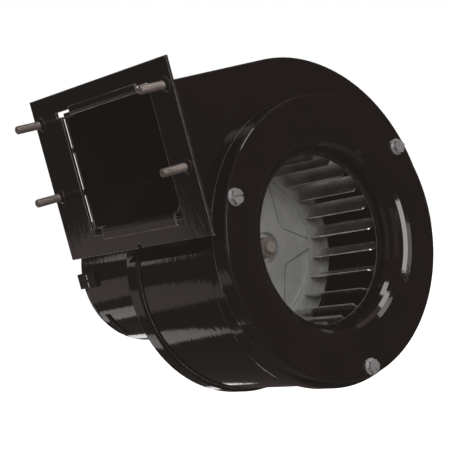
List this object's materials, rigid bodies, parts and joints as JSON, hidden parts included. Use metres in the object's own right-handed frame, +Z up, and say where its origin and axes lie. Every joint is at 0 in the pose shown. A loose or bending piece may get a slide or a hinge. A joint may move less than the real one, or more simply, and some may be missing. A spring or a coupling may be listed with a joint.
{
  "type": "combustion blower",
  "caption": "Direct-drive centrifugal combustion blower with a scroll housing, bell-mouth inlet ring, squirrel-cage wheel, flanged discharge with studs and a rear can motor.",
  "frame": {"origin": "centre of the four discharge studs on the outer face of the discharge flange", "axes": "+X from the flange into the blower, +Z up along the flange, inlet on the -Y side and motor on the +Y side"},
  "size_m": [0.1734, 0.1699, 0.1746],
  "materials": {
    "black_enamel": "gloss",
    "zinc_steel": "satin",
    "stud_steel": "satin",
    "wheel_steel": "satin",
    "lamination_steel": "matte",
    "cast_aluminium": "satin",
    "copper": "satin",
    "moulded_nylon": "matte",
    "tinned_brass": "satin",
    "bronze": "satin",
    "oil_felt": "matte",
    "grommet_rubber": "matte"
  },
  "bodies": {
    "housing": {"scroll_wrap": "black_enamel", "front_side_sheet": "black_enamel", "rear_side_sheet": "black_enamel", "inlet_ring": "black_enamel", "ring_standoffs": "black_enamel", "inlet_ring_screws": "zinc_steel", "discharge_flange": "black_enamel", "discharge_studs": "stud_steel", "motor_shell": "black_enamel", "motor_front_bracket": "zinc_steel", "motor_mount_grommets": "grommet_rubber", "motor_mount_screws": "zinc_steel", "motor_mount_nuts": "zinc_steel", "front_bearing": "bronze", "rear_bearing": "bronze", "front_oil_felt": "oil_felt", "rear_oil_felt": "oil_felt", "front_bearing_retainer": "zinc_steel", "rear_bearing_retainer": "zinc_steel", "stator_core": "lamination_steel", "stator_bolts": "zinc_steel", "stator_spacers": "zinc_steel", "coil_bobbins": "moulded_nylon", "coil_windings": "copper", "shading_rings": "copper", "terminal_block": "moulded_nylon", "line_terminals": "tinned_brass"},
    "rotor": {"motor_shaft": "stud_steel", "rotor_core": "lamination_steel", "rotor_bars": "cast_aluminium", "rotor_end_rings": "cast_aluminium", "thrust_washers": "moulded_nylon", "shaft_spacers": "stud_steel", "motor_cooling_fan": "wheel_steel", "wheel_back_disc": "wheel_steel", "wheel_blades": "wheel_steel", "wheel_front_ring": "wheel_steel", "wheel_rear_ring": "wheel_steel", "wheel_hub": "wheel_steel", "hub_set_screw": "stud_steel"}
  },
  "joints": [
    {"name": "rotor_spin", "type": "hinge", "parent": "housing", "child": "rotor", "pos_m": [0.0801, 0.05, -0.0704], "axis": [0, 1, 0], "continuous": true}
  ]
}
